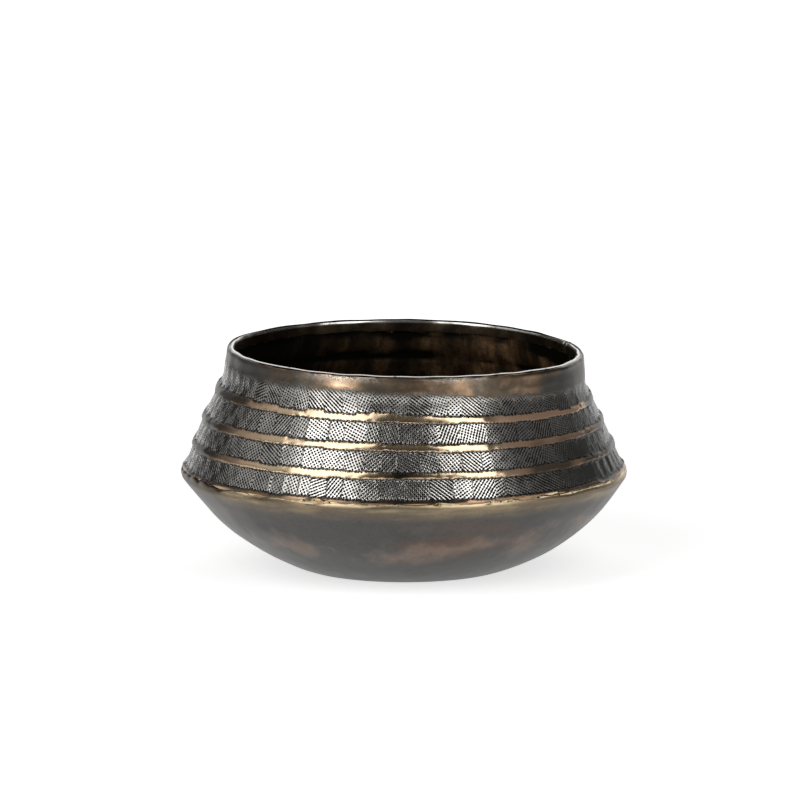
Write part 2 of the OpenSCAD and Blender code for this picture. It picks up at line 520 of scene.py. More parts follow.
def cross_hatch_group():
    """Raised lines of the hatched punch, in the frame of each blow. Height is 1 on the lines and 0 in the
    pits between them."""
    if "Cross hatch" in bpy.data.node_groups:
        return bpy.data.node_groups["Cross hatch"]
    tree, given, out = group(
        "Cross hatch",
        [("Place", "Vector", None), ("Half size", "Vector", None), ("Turn", "Float", 0.7),
         ("Pitch", "Float", 0.0021), ("Corner", "Float", 0.0025), ("Open top", "Float", 0.0)],
        [("Height", "Float"), ("Mark", "Float"), ("Border", "Float")])
    top = given["Open top"]
    wander = node(tree, "TexNoise", Vector=given["Place"], Scale=300.0, Detail=1.0).outputs["Color"]
    shift = node(tree, "VectorMath", wander, (0.5, 0.5, 0.5), settings={"operation": "SUBTRACT"}).outputs[0]
    shift = node(tree, "VectorMath", shift, settings={"operation": "SCALE"}, Scale=0.0009).outputs[0]
    moved = node(tree, "VectorMath", given["Place"], shift, settings={"operation": "ADD"}).outputs[0]
    turned = node(tree, "VectorRotate", Vector=moved, Angle=given["Turn"],
                  settings={"rotation_type": "Z_AXIS"}).outputs[0]
    axes = node(tree, "SeparateXYZ", turned).outputs
    valleys = []
    for axis in (0, 1):
        wave = calc(tree, "DIVIDE", axes[axis], given["Pitch"])
        wave = calc(tree, "COSINE", times(tree, wave, FULL_TURN))
        valleys.append(line(tree, wave, -0.5, 0.5))
    # The second set of lines is cut less deep than the first, and differs from blow to blow.
    cross = calc(tree, "SINE", times(tree, given["Turn"], 9.0))
    cross = line(tree, cross, 0.17, 0.78)
    weak = line(tree, calc(tree, "SUBTRACT", valleys[1], 1.0), cross, 1.0)
    height = calc(tree, "SUBTRACT", 1.0, times(tree, valleys[0], weak))
    tree.links.new(height, out["Height"])
    size = node(tree, "SeparateXYZ", given["Half size"]).outputs
    spot = node(tree, "SeparateXYZ", given["Place"]).outputs
    # Distance to the edge of the mark, a rectangle with round corners.
    past = [calc(tree, "SUBTRACT", calc(tree, "ABSOLUTE", spot[axis]), size[axis]) for axis in (0, 1)]
    q = [calc(tree, "ADD", value, given["Corner"]) for value in past]
    squares = [calc(tree, "POWER", calc(tree, "MAXIMUM", value, 0.0), 2.0) for value in q]
    outer = calc(tree, "SQRT", calc(tree, "ADD", *squares))
    inner = calc(tree, "MINIMUM", calc(tree, "MAXIMUM", q[0], q[1]), 0.0)
    away = calc(tree, "SUBTRACT", calc(tree, "ADD", outer, inner), given["Corner"])
    wavy = line(tree, noise(tree, given["Place"], 420.0, 1.0), 0.0009, 0.0004)
    ragged = line(tree, height, -0.0009, wavy)
    away = calc(tree, "ADD", away, ragged)
    above = times(tree, top, ramp(tree, spot[1], 0.0, 0.004))
    thin = line(tree, noise(tree, given["Place"], 170.0, 3.0), 0.008, -0.0022)
    fade = line(tree, above, line(tree, height, -0.003, thin), away)
    tree.links.new(ramp(tree, fade, 0.0006, 0.0001), out["Mark"])
    level_edge = ramp(tree, past[1], -0.004, -0.001)
    border = ramp(tree, calc(tree, "ABSOLUTE", calc(tree, "SUBTRACT", away, 0.0001)), 0.0009, 0.0004)
    strength = less(tree, line(tree, level_edge, 0.45, 0.55), above)
    tree.links.new(times(tree, border, strength), out["Border"])
    return tree


def blotch_group():
    """Uneven patina: broad clouds, and fine dirt that breaks them up."""
    if "Patina blotches" in bpy.data.node_groups:
        return bpy.data.node_groups["Patina blotches"]
    tree, given, out = group(
        "Patina blotches",
        [("Place", "Vector", None), ("Size", "Float", 0.03), ("Cover", "Float", 0.5),
         ("Softness", "Float", 0.1)],
        [("Cloud", "Float"), ("Dirt", "Float")])
    scale = calc(tree, "DIVIDE", 1.0, given["Size"])
    broad = node(tree, "TexNoise", Vector=given["Place"], Scale=scale, Detail=4.0, Roughness=0.6,
                 Distortion=0.4).outputs["Fac"]
    edge = calc(tree, "SUBTRACT", 1.0, given["Cover"])
    cloud = ramp(tree, broad, calc(tree, "SUBTRACT", edge, given["Softness"]),
                 calc(tree, "ADD", edge, given["Softness"]))
    tree.links.new(cloud, out["Cloud"])
    tree.links.new(ramp(tree, noise(tree, given["Place"], 420.0, 3.0, 0.7), 0.42, 0.7), out["Dirt"])
    return tree


def metal(tree, colour, rough, height, bare=1.0):
    """Finishes a material's tree with its shader. The height is in millimetres, and bare says how much of
    the surface is bare metal."""
    raised = node(tree, "Bump", Height=height, Distance=MM, Strength=1.0).outputs[0]
    shader = tree.nodes["Principled BSDF"].inputs
    for key, value in {"Base Color": colour, "Roughness": rough, "Normal": raised, "Metallic": bare,
                       "Specular IOR Level": 0.1}.items():
        feed(tree, shader[key], value)


def new_material(name):
    material = bpy.data.materials.new(name)
    material.use_nodes = True
    return material, material.node_tree


def wall_metal(s, c):
    """Punched and rubbed copper of the wall's outside."""
    material, tree = new_material("Hatched copper")
    spot = node(tree, "TexCoord").outputs["Object"]
    mark_place = node(tree, "UVMap", settings={"uv_map": "Marks"}).outputs[0]
    form = node(tree, "SeparateXYZ", attribute(tree, "mark_form", "Vector")).outputs
    half = node(tree, "CombineXYZ", form[0], form[1], 0.0).outputs[0]
    hatch = use(tree, cross_hatch_group(), Place=mark_place, Half_size=half, Turn=form[2],
                Pitch=s.hatch_pitch, Open_top=attribute(tree, "top_band"))
    mark = hatch["Mark"]
    blotch = use(tree, blotch_group(), Place=spot, Size=0.022, Cover=0.5, Softness=0.16)
    small = noise(tree, spot, 80.0, 2.0, 0.5)
    notes = ("worn_and_lit", "faint", "side", "neck", "shade", "ridge_dull_shade", "ridge_shade", "flaked_and_lit")
    worn_and_lit, faint, side, neck, shade, ridge_dull_shade, ridge_shade, flaked_and_lit = (attribute(tree, name) for name in notes)

    # Plain metal: grey-brown patina, bronze where it is rubbed a little, brass where it is rubbed most and
    # where a highlight is painted.
    fine = line(tree, noise(tree, spot, 230.0, 3.0, 0.6), 0.5, -0.25)
    rubbed = calc(tree, "ADD", worn_and_lit, line(tree, small, 0.5, -0.25))
    rubbed = calc(tree, "ADD", rubbed, less(tree, fine, worn_and_lit))
    brown = blend(tree, blotch["Cloud"], c.patina, UMBER)
    brown = blend(tree, times(tree, side, 0.8), brown, ASH)
    plain = blend(tree, ramp(tree, rubbed, 0.02, 0.45), brown, c.bronze)
    plain = blend(tree, ramp(tree, rubbed, 0.42, 0.9), plain, c.worn_and_lit)

    # Hatched metal: rubbed lines over black pits. Towards both sides the lines break up into upright ribs.
    press = line(tree, noise(tree, spot, 170.0, 2.0, 0.6), 0.7, -0.35)
    pressed = calc(tree, "ADD", hatch["Height"], press)
    ribs = ramp(tree, noise(tree, mark_place, 250.0, 2.0, 0.5, stretch=(1.0, 0.16, 1.0)), 0.58, 0.42)
    ribs = times(tree, ribs, side)
    bright = less(tree, ramp(tree, pressed, 0.59, 0.9), faint)
    bright = less(tree, bright, ribs, 0.9)
    # Painted shade takes the lines down in the bend under the collar and where the hatching lies in shade.
    bright = less(tree, bright, neck, 0.6)
    bright = less(tree, bright, shade)
    lines = blend(tree, blotch["Dirt"], c.pewter, DUSTY)
    hatched = blend(tree, bright, c.soot_and_shade, lines)
    hatched = blend(tree, faint, hatched, FLATTENED)
    cover = times(tree, mark, ramp(tree, worn_and_lit, 0.95, 0.75))

    base = blend(tree, cover, plain, hatched)
    base = blend(tree, calc(tree, "SUBTRACT", mark, cover), base, c.pewter)
    # Painted shade: ridges dulled and darkened where they lie in shade, and the bend under the collar.
    base = blend(tree, less(tree, ridge_dull_shade, mark), base, RIDGE_DULL_SHADE_BRONZE)
    base = blend(tree, less(tree, ridge_shade, mark), base, RIDGE_SHADE_BROWN)
    base = blend(tree, less(tree, neck, cover), base, BEND_SHADE)
    # The flakes are painted pale only where they are lit, a painted highlight.
    chips = ramp(tree, noise(tree, spot, 560.0, 4.0, 0.7, 0.5), 0.45, 0.68)
    chips = times(tree, flaked_and_lit, chips)
    base = blend(tree, times(tree, flaked_and_lit, 0.4), base, FLAKE_HIGHLIGHT)
    base = blend(tree, times(tree, chips, 0.7), base, c.pewter)
    base = blend(tree, times(tree, hatch["Border"], 0.85), base, c.soot_and_shade)

    rough_plain = node(tree, "MapRange", Value=rubbed, From_Max=0.8, To_Min=0.4, To_Max=0.22).outputs[0]
    rough_hatch = between(tree, hatch["Height"], 0.34, 0.18)
    rough = node(tree, "Mix", mark, None, rough_plain, rough_hatch).outputs[0]
    lattice = times(tree, times(tree, hatch["Height"], mark), line(tree, faint, -0.16, 0.18))
    level = line(tree, hatch["Border"], -0.25, lattice)
    level = line(tree, chips, 0.2, level)
    level = line(tree, small, 0.12, level)
    level = line(tree, times(tree, ribs, cover), -0.2, level)
    # Less bare metal in the black pits, and in the painted shade of the bend and of the dulled ridges.
    sooty_and_shaded = less(tree, cover, bright)
    sooty_and_shaded = calc(tree, "MAXIMUM", sooty_and_shaded, times(tree, neck, 0.9))
    sooty_and_shaded = calc(tree, "MAXIMUM", sooty_and_shaded, times(tree, ridge_dull_shade, 0.75))
    metal(tree, base, rough, level, bare=line(tree, sooty_and_shaded, -0.85, 1.0))
    return material


def inside_metal(c):
    """Smoked copper of the bowl's inside, with copper painted as light on its proud places."""
    if "Smoked copper" in bpy.data.materials:
        return bpy.data.materials["Smoked copper"]
    material, tree = new_material("Smoked copper")
    spot = node(tree, "TexCoord").outputs["Object"]
    blotch = use(tree, blotch_group(), Place=spot, Size=0.035, Cover=0.42, Softness=0.12)
    streak = ramp(tree, noise(tree, spot, 130.0, 2.0, stretch=(1.0, 1.0, 0.1)), 0.4, 0.6)
    # Painted light: copper on the proud places, where light falls inside the bowl.
    proud_and_lit = times(tree, attribute(tree, "proud_and_lit"), line(tree, streak, 0.6, 0.4))
    base = blend(tree, proud_and_lit, c.inside, LIT_COPPER)
    base = blend(tree, times(tree, blotch["Dirt"], 0.5), base, c.soot_and_shade)
    rough = between(tree, blotch["Cloud"], 0.5, 0.36)
    level = times(tree, noise(tree, spot, 70.0, 2.0), 0.4)
    metal(tree, base, rough, level, bare=0.5)
    return material


def pan_metal(s, c):
    """Satin grey patina of the pan, with red-brown tide marks and a golden lip."""
    material, tree = new_material("Pan copper")
    spot = node(tree, "TexCoord").outputs["Object"]
    up = node(tree, "SeparateXYZ", spot).outputs[2]
    blotch = use(tree, blotch_group(), Place=spot, Size=0.045, Cover=0.42, Softness=0.14)
    wide = noise(tree, spot, 9.0, 4.0, 0.6, 0.6, stretch=(1.0, 1.0, 3.2))
    wave = noise(tree, spot, 12.0, 5.0, 0.62, stretch=(1.0, 1.0, 0.25))
    strength = noise(tree, spot, 32.0, 3.0, 0.6)
    belt = times(tree, ramp(tree, up, 0.018, 0.036), ramp(tree, up, 0.06, 0.046))
    red = times(tree, belt, ramp(tree, wide, 0.46, 0.7))
    shore = line(tree, wave, 0.07, -0.003)
    off = calc(tree, "ABSOLUTE", calc(tree, "SUBTRACT", up, shore))
    wide_here = line(tree, noise(tree, spot, 17.0, 2.0), 0.03, -0.006)
    tide = times(tree, ramp(tree, off, wide_here, 0.0), ramp(tree, strength, 0.36, 0.6))
    base = blend(tree, blotch["Cloud"], c.gunmetal, STEEL)
    base = blend(tree, times(tree, red, 0.7), base, c.blush)
    base = blend(tree, times(tree, tide, 0.6), base, TIDE)
    brown = ramp(tree, up, s.shoulder_height - 14 * MM, s.shoulder_height - 2 * MM)
    brown = times(tree, brown, 0.9)
    streaks = ramp(tree, noise(tree, spot, 26.0, 3.0, 0.6, stretch=(1.0, 1.0, 7.0)), 0.4, 0.66)
    base = blend(tree, brown, base, blend(tree, streaks, TAN, STRAW))
    base = blend(tree, attribute(tree, "gold"), base, c.gold)
    # Black in the slits, a painted shade, and on the band under the lip at the left.
    base = blend(tree, attribute(tree, "slit"), base, c.soot_and_shade)
    base = blend(tree, times(tree, blotch["Dirt"], 0.12), base, c.soot_and_shade)
    satin = noise(tree, spot, 60.0, 4.0, 0.7)
    rough = between(tree, satin, 0.3, 0.44)
    level = times(tree, noise(tree, spot, 38.0, 2.0), 0.3)
    metal(tree, base, rough, level)
    return material


def rim_metal(c):
    """Dark rim band with a painted highlight along its inner edge."""
    material, tree = new_material("Rim copper")
    spot = node(tree, "TexCoord").outputs["Object"]
    blotch = use(tree, blotch_group(), Place=spot, Size=0.014, Cover=0.5, Softness=0.16)
    black = attribute(tree, "black")
    base = blend(tree, blotch["Cloud"], RIM_BROWN, RIM_CLOUD)
    base = blend(tree, black, base, c.soot_and_shade)
    patches = ramp(tree, noise(tree, spot, 180.0, 2.0), 0.2, 0.42)
    # This mask is a painted highlight along the inner edge and a painted pale reflection at the lip's left
    # and right.
    worn_and_lit = times(tree, attribute(tree, "worn_and_lit"), patches)
    base = blend(tree, worn_and_lit, base, c.pewter)
    rough = between(tree, worn_and_lit, 0.42, 0.24)
    rough = line(tree, black, 0.5, rough, clamp=True)
    level = times(tree, noise(tree, spot, 120.0, 3.0), 0.12)
    metal(tree, base, rough, level, bare=calc(tree, "SUBTRACT", 1.0, black))
    return material


def brass_metal(c):
    """Uneven brass of the joints, with black pits."""
    if "Joint brass" in bpy.data.materials:
        return bpy.data.materials["Joint brass"]
    material, tree = new_material("Joint brass")
    spot = node(tree, "TexCoord").outputs["Object"]
    blotch = use(tree, blotch_group(), Place=spot, Size=0.008, Cover=0.45, Softness=0.1)
    base = blend(tree, blotch["Cloud"], c.gold, OLD_BRASS)
    pits = ramp(tree, noise(tree, spot, 310.0, 3.0, 0.7), 0.56, 0.66)
    base = blend(tree, pits, base, c.soot_and_shade)
    # Black from the pieces: painted shade in the corner and slits of the shoulder bead, and darker metal at
    # the seams and under the rim band.
    base = blend(tree, attribute(tree, "black"), base, c.soot_and_shade)
    rough = between(tree, pits, 0.25, 0.6)
    level = times(tree, calc(tree, "SUBTRACT", noise(tree, spot, 240.0, 3.0), pits), 0.2)
    metal(tree, base, rough, level)
    return material


# ---------------------------------------------------------------------------------------------------------
# The pieces
# ---------------------------------------------------------------------------------------------------------

class BOWL_OT_pan(bpy.types.Operator):
    """Raise the lower pan and planish its side"""

    bl_idname = "bowl.pan"
    bl_label = "Base pan"

    def execute(self, context):
        s, c = context.scene.bowl_sizes, context.scene.bowl_colours
        outline, outer = self.outline(s)
        piece, angles, order = lathe("pan_shell", outline, 720, closed=False)
        r, z = grid(outline, angles)
        side = smooth(s.base_radius + 4 * MM, s.base_radius + 18 * MM, r) * smooth(
            s.shoulder_height, s.shoulder_height - 10 * MM, z)
        flats = self.flats(angles, r, z, s)
        swell = 0.25 * MM * uneven(angles[:, None], z, 0.11, s.seed + 1)
        r = r - side * (flats + swell)
        # The lip is uneven, and its edge is lifted at the left.
        top = smooth(s.shoulder_height - 3 * MM, s.shoulder_height, z)
        ragged, lifted = lip_edge(s, angles)
        z = z + top * (ragged + lifted)
        r = r + top * 0.4 * lifted
        shape(s, piece, angles, order, r, z)
        place_in_ring = np.arange(len(outline))
        edge = smooth(outer - 4, outer - 0.5, place_in_ring) * (place_in_ring < outer + 3)
        deg = np.degrees(from_front(angles))[:, None]
        left = window(deg, -100, -85, -60, -50)
        rubbed = smooth(-1.4, 0.4, uneven_ring(angles, 0.05, s.seed + 4))
        note(piece, "gold", order, edge * (1 - 0.8 * left) * rubbed)
        # Painted shade in two slits under the lip, and the band under the lip darkened at the left.
        slit = (bump(deg, -25, 1.4) + bump(deg, 22, 0.9)) * bump(place_in_ring, outer - 1, 1.2)
        left_darkening = 0.7 * left * smooth(outer - 16, outer - 6, place_in_ring) * (place_in_ring < outer + 3)
        note(piece, "slit", order, np.maximum(slit, left_darkening))
        note(piece, "inside", order, np.tile(place_in_ring > outer + 1, (len(angles), 1)))
        note(piece, "proud_and_lit", order, np.full(r.shape, 0.3))
        close_up(piece)
        place(piece, "base_pan", "pan_copper", pan_metal(s, c), inside_metal(c))
        line_inside(piece)
        return {"FINISHED"}

    def outline(self, s):
        """Outside from the middle of the flat to the lip, then inside back to the middle."""
        foot = s.shoulder_height - s.lip_height
        chord = Vector((s.shoulder_radius - s.base_radius, foot))
        arc = ((chord.length / 2) ** 2 + s.pan_bulge ** 2) / (2 * s.pan_bulge)
        way = Vector((chord.y, -chord.x)).normalized()
        middle = Vector((s.base_radius, 0)) + chord / 2 - way * (arc - s.pan_bulge)

        def along(radius, first, last, count):
            start, end = (math.asin((x - middle.x) / radius) for x in (first, last))
            spots = [start + (end - start) * k / count for k in range(count + 1)]
            return [(middle.x + radius * math.sin(t), middle.y - radius * math.cos(t)) for t in spots]

        inner_foot = s.shoulder_radius - s.sheet
        inner_start = middle.x + math.sqrt((arc - s.sheet) ** 2 - (middle.y - s.sheet) ** 2)
        flat = [(s.base_radius * k / 5, 0.0) for k in range(5)]
        outside = flat + along(arc, s.base_radius, s.shoulder_radius, 66)
        lip = [(s.shoulder_radius + out * MM, foot + up * MM) for out, up in
               ((0.08, 0.8), (0.12, 1.5), (0.05, 2.2), (-0.15, 2.9), (-0.42, 3.5))]
        round_top = [(s.shoulder_radius - back * MM, s.shoulder_height) for back in (0.72, 1.0)]
        round_top += [(inner_foot, s.shoulder_height - 0.3 * MM)]
        inside = along(arc - s.sheet, inner_foot, inner_start, 30)
        flat_in = [(inner_start * k / 4, s.sheet) for k in range(3, -1, -1)]
        return outside + lip + round_top + inside + flat_in, len(outside) + len(lip)

    def flats(self, angles, r, z, s):
        """How far the planishing hammer has flattened the side, deepest in the middle of each flat."""
        rng = np.random.default_rng(s.seed + 5)
        count = 420
        spots = np.stack([rng.uniform(0, FULL_TURN, count), rng.uniform(0.0, s.shoulder_height, count)], 1)
        size = 13 * MM
        nearest = np.full(r.shape, 1.0)
        slant = 1.25     # the side is longer than it is high
        for spot_angle, spot_z in spots:
            gap = (angles - spot_angle + math.pi) % FULL_TURN - math.pi
            cols = np.abs(gap) < 0.35
            if not cols.any():
                continue
            across = gap[cols][:, None] * r[cols]
            nearest[cols] = np.minimum(nearest[cols], np.hypot(across, (z[cols] - spot_z) * slant))
        reach = np.clip(nearest / size, 0, 1)
        return 0.32 * MM * (1 - reach ** 2)


class BOWL_OT_wall(bpy.types.Operator):
    """Roll the wall, punch its hatched bands and turn up its collar"""

    bl_idname = "bowl.wall"
    bl_label = "Body wall"
    columns = 800

    def execute(self, context):
        s, c = context.scene.bowl_sizes, context.scene.bowl_colours
        form = WallForm(s)
        z_out = np.concatenate([
            np.linspace(s.skirt_height, form.foot - MM, 4),
            np.arange(form.foot, s.rim_height - 2.2 * MM, 1.06 * MM),
            s.rim_height - np.array([1.4, 0.8, 0.35]) * MM])
        z_in = np.linspace(s.rim_height - 0.6 * MM, s.skirt_height, 38)
        outer = len(z_out)
        radii = np.concatenate([form.outer(z_out), s.collar_radius + np.array([0.45, 0.1]) * MM,
                                form.inner(z_in)])
        heights = np.concatenate([z_out, s.rim_height - np.array([0.1, 0.45]) * MM, z_in])
        radii[outer - 3:outer] -= np.array([0.05, 0.25, 0.5]) * MM
        gap = s.seam_width / s.collar_radius * 0.9
        outline = list(zip(radii, heights))
        piece, angles, order = lathe("wall_shell", outline, self.columns, FULL_TURN - gap,
                                     s.seam_angle + gap / 2)
        r, z = grid(outline, angles)
        angle = np.broadcast_to(angles[:, None], r.shape)
        column = np.broadcast_to(np.arange(len(angles))[:, None], r.shape)
        hatching = Hatching(s, angles)
        found = hatching.blow(column, angle, z)
        deg = np.degrees(from_front(angle))
        outside = np.arange(len(radii)) < outer
        driven, worn_and_lit = self.hammer(s, form, hatching, found, angles, r, z, column)
        # The blows show on the inside too, but not where the rim band lies against it.
        below_band = smooth(s.band_foot + MM, s.band_foot - 3 * MM, z)
        r = r - np.where(outside, driven, 0.75 * driven * below_band)
        # The wall's edge is beaten down a little under the rim band's, and more next to the seam.
        from_end = np.minimum(column, column[::-1])
        beaten = 0.8 * MM * (smooth(80, 40, np.abs(deg)) + smooth(105, 125, np.abs(deg)))
        beaten = beaten + 0.1 * MM * uneven_ring(angles, 0.012, s.seed + 15) * smooth(100, 60, np.abs(deg))
        beaten = beaten + 0.9 * MM * (from_end < 2) * smooth(s.rim_height - 5 * MM, s.rim_height, z)
        z = z - beaten * smooth(s.rim_height - 3 * MM, s.rim_height - 0.5 * MM, z)
        z = shape(s, piece, angles, order, r, z)
        note(piece, "worn_and_lit", order, worn_and_lit * outside)
        for name, values in self.wear(s, form, hatching, angle, deg, z).items():
            note(piece, name, order, values * outside)
        note(piece, "top_band", order, smooth(form.collar - 15.5 * MM, form.collar - 14.5 * MM,
                                              hatching.nominal(angle, z)))
        note(piece, "faint", order, self.faint(s, angle, z, hatching, found))
        # Copper painted as light on the proud places of the inside: most at the back right, a little at the
        # back left.
        panels = smooth(-0.6, 1.0, uneven(angles[:, None], 0.15 * z, 0.02, s.seed + 11))
        lit = 0.05 + bump(deg, 145, 32) + 0.35 * bump(deg, -168, 14)
        proud_and_lit = smooth(0.1 * MM, 0.7 * MM, driven) * (0.35 + 0.65 * panels) * lit
        note(piece, "proud_and_lit", order, proud_and_lit * ~outside)
        note(piece, "inside", order, np.tile(np.arange(len(radii)) > outer, (len(angles), 1)))
        close_up(piece)
        self.lay_marks(piece, hatching, angles, order, heights, radii, outer)
        place(piece, "body_wall", "wall_copper", wall_metal(s, c), inside_metal(c))
        line_inside(piece)
        return {"FINISHED"}

    def hammer(self, s, form, hatching, found, angles, r, z, column):
        """How far each place is driven in, and how bright it is rubbed afterwards, painted highlights
        included.
        """
        step = angles[1] - angles[0]
        across = (column - found["middle"]) * step * r
        half = found["half"] * step * r
        away = outside_of(across, found["up"], half + found["lap"], found["half_up"], 1.7 * MM)
        away = away + 0.22 * MM * uneven(angles[:, None], z, 0.007, s.seed + 16)
        level, top = hatching.nominal(angles[:, None], z), hatching.top
        mark = smooth(0.45 * MM, -0.75 * MM, away)
        mark = np.where(level > top - 9 * MM, smooth(top + MM, top - 9 * MM, level), mark)
        facet = 0.18 * np.clip(half ** 2 - across ** 2, 0, None) / (2 * r)
        tilt = found["tilt"] * across / np.maximum(half, MM)
        deg = np.degrees(from_front(angles))[:, None]
        blows = mark * (found["deep"] * (1 + 0.5 * smooth(50, 80, np.abs(deg))) + facet + tilt)
        # Older dents, small and broad, and the work on the ridges and on the collar.
        dents = 0.22 * MM * uneven(angles[:, None], z, 0.045, s.seed + 6)
        dents = dents + 0.05 * MM * uneven_ring(angles, 0.02, s.seed + 18)
        broad = 0.35 * MM * uneven(angles[:, None], z, 0.12, s.seed + 7)
        lumps = 0.13 * MM * (1 - mark) * uneven(angles[:, None], z, 0.019, s.seed + 31)
        lumps = lumps * smooth(top, top - 6 * MM, level)
        crowned = 0.28 * MM * smooth(0.2 * MM, 2.2 * MM, away) * (1 - mark)
        crowned = crowned * smooth(top - 2 * MM, top - 6 * MM, level)
        upright = 0.16 * MM * uneven(angles[:, None], 0.3 * z, 0.024, s.seed + 22)
        upright = upright * smooth(top - 2 * MM, form.collar + MM, z)
        # The fold right of the front stands out, with the wall flatter on both sides of it.
        fold = np.abs(deg - math.degrees(CREASE))
        flat = 0.6 * MM * (1 - np.exp(-fold / 6)) * np.exp(-(fold / 20) ** 2)
        flat = flat * smooth(top + 4 * MM, top - 6 * MM, z)
        above_foot = smooth(form.foot + 0.3 * MM, form.foot + 1.2 * MM, z)
        driven = blows + dents * (1 - 0.5 * mark) + broad + lumps + upright - crowned + flat
        bars, flutes = self.chased(s, form, hatching, deg, z, level)
        driven = driven * above_foot - 0.55 * MM * bars + 0.5 * MM * flutes
        return driven, np.clip(self.rub(s, form, hatching, angles, deg, z, level, mark) + bars, 0, 1)

    def chased(self, s, form, hatching, deg, z, level):
        """Three raised bars left of the front and upright flutes near the right side, in the lowest band,
        and the raised edge of a flat blow at the right of the top band."""
        low = form.foot + s.foot_height
        high = low + s.hatch_height
        within = window(z, low, low + MM, high - 3 * MM, high - MM)
        bars = sum(bump(deg, place, 0.45) for place in (-38.4, -33.6, -28.6)) * within
        top = hatching.top
        in_top_band = window(level, top - 16 * MM, top - 14 * MM, top - 2 * MM, top)
        bars = bars + 0.7 * bump(deg, 69, 0.6) * in_top_band
        flutes = (0.5 + 0.5 * np.cos(np.radians(deg) * 360 / 5.2)) * window(deg, 62, 66, 86, 92) * within
        return bars, flutes

    def rub(self, s, form, hatching, angles, deg, z, level, mark):
        """How bright hands have rubbed the ridges, the foot and the collar, with a painted highlight on the
        collar and on the wall's upper edge at the front.
        """
        foot, top = hatching.foot, hatching.top
        share = np.clip((level - foot) / (top - foot), 0, 1)
        reach = np.where(deg > 0, 40 + 24 * share, 62)
        hands = smooth(reach + 8, reach - 10, np.abs(deg)) + 0.8 * smooth(95, 125, np.abs(deg))
        hands = np.maximum(hands, 0.7 * smooth(76, 68, deg) * (deg > 0))
        ridges = window(level, foot + 3 * MM, foot + 7 * MM, top - 7 * MM, top - 3 * MM)
        bottom = 0.35 * smooth(foot + 0.6 * MM, foot - 0.4 * MM, level)
        bottom = bottom * (1 + 0.5 * uneven_ring(angles, 0.03, s.seed + 17))
        rubbed = (1 - mark) * ridges * hands + bottom
        # Painted highlight on the collar: strong left of the front, faint right of it.
        collar = smooth(top - 0.5 * MM, top + MM, level)
        golden = 0.05 * bump(deg, 22, 8)
        golden = golden + 0.5 * bump(deg, -22, 6) * smooth(form.collar, form.collar + 3 * MM, z)
        patchy = smooth(-1.2, 1.6, uneven(angles[:, None], z, 0.05, s.seed + 8))
        patchy = 0.25 * patchy * smooth(85, 60, np.abs(deg)) + golden
        # The wall's upper edge is painted bright along the front, a painted highlight.
        edge = smooth(s.rim_height - 1.1 * MM, s.rim_height - 0.2 * MM, z) * smooth(80, 60, np.abs(deg))
        edge = edge * smooth(-0.3, 0.8, uneven_ring(angles, 0.05, s.seed + 9))
        return rubbed * (1 - collar) + collar * patchy + 0.8 * edge

    def wear(self, s, form, hatching, angle, deg, z):
        """How the outside has aged, and where light and shade are painted on it: flaked near the rim,
        painted pale where it is lit; grey at the sides; painted shade in the bend under the collar and on
        the hatching; and ridges painted dull and dark in shade towards both sides and in the middle of the
        front, the two lower ones at the right most of it."""
        foot, top = hatching.foot, hatching.top
        level = hatching.nominal(angle, z)
        share = (level - foot) / (top - foot)
        # Flaked metal near the rim, painted pale only where it is lit, left and right of the front, as a
        # painted highlight.
        flaked_and_lit = smooth(s.rim_height - 5.5 * MM, s.rim_height - 2 * MM, z)
        flaked_and_lit = flaked_and_lit * (bump(deg, -21, 11) + bump(deg, 17, 8))
        side = np.where(deg < 0, smooth(46, 60, -deg), smooth(58, 70, deg)) * smooth(122, 104, np.abs(deg))
        # Painted shade in the bend under the collar, at both sides and more at the left.
        neck = smooth(form.collar + 5 * MM, form.collar + 1 * MM, z) * smooth(40, 56, np.abs(deg))
        neck = np.maximum(neck, smooth(-42, -56, deg)) * smooth(82, 74, np.abs(deg))
        neck = 0.85 * neck * smooth(top - 6 * MM, top - MM, level)
        ridges = window(level, foot, foot + 4 * MM, top - 6 * MM, top - 3 * MM)
        # Painted shade on the ridges, dull and dark: right of the fold, at the left, and in the middle of
        # the front.
        ridge_dull_shade = window(deg, 24, 34, 62, 72) + 0.6 * window(deg, -66, -58, -48, -40)
        ridge_shade = window(deg, 26, 42, 70, 80) * smooth(0.66, 0.36, share)
        ridge_shade = ridge_shade + 0.7 * window(deg, -76, -66, -58, -48)
        ridge_shade = ridge_shade + 0.65 * bump(deg, 0, 9) * smooth(0.5, 0.36, share)
        ridge_shade = np.clip(ridge_shade * (0.85 + 0.3 * uneven(angle, z, 0.03, s.seed + 32)), 0, 1)
        # Painted shade on the hatching: right of the fold, at the left, and in the middle of the front near
        # the top.
        shade = smooth(24, 33, deg) * (0.72 - 0.3 * smooth(72, 80, deg)) * smooth(124, 112, deg)
        shade = shade + 0.28 * window(deg, -76, -68, -36, -28)
        shade = shade + 0.4 * bump(deg, 0, 10) * smooth(0.7, 0.85, share)
        return {"flaked_and_lit": flaked_and_lit, "side": side, "neck": neck, "ridge_dull_shade": ridge_dull_shade * ridges, "ridge_shade": ridge_shade * ridges,
                "shade": shade}

